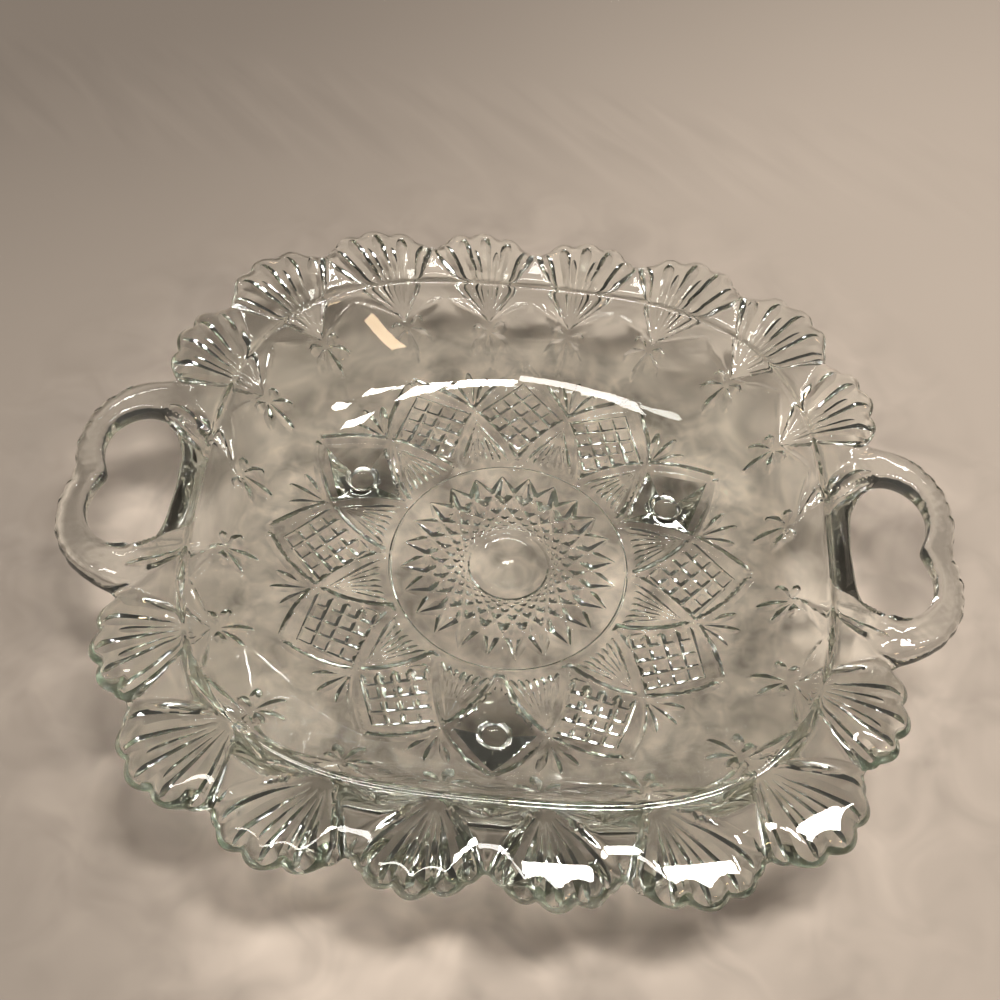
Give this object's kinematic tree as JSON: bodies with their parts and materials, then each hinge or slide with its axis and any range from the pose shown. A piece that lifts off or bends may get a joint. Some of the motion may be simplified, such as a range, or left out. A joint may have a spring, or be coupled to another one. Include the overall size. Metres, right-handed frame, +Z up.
{
  "type": "candy dish",
  "caption": "Clear pressed-glass candy dish: rounded-square bowl with a flat scalloped fan rim, a loop handle at each end, a star-and-petal floor and small stub feet.",
  "frame": {"origin": "on the table, under the middle of the bowl", "axes": "+X to the right handle, +Y to the back of the dish, +Z up"},
  "size_m": [0.2064, 0.1808, 0.0318],
  "materials": {
    "clear_glass": "pressed and fire-polished clear glass with a faint grey-green cast"
  },
  "bodies": {
    "root": {"basin": "clear_glass", "fan_rim_back": "clear_glass", "fan_rim_front": "clear_glass", "handle_left": "clear_glass", "handle_right": "clear_glass", "foot_front": "clear_glass", "foot_back_left": "clear_glass", "foot_back_right": "clear_glass"}
  },
  "joints": []
}
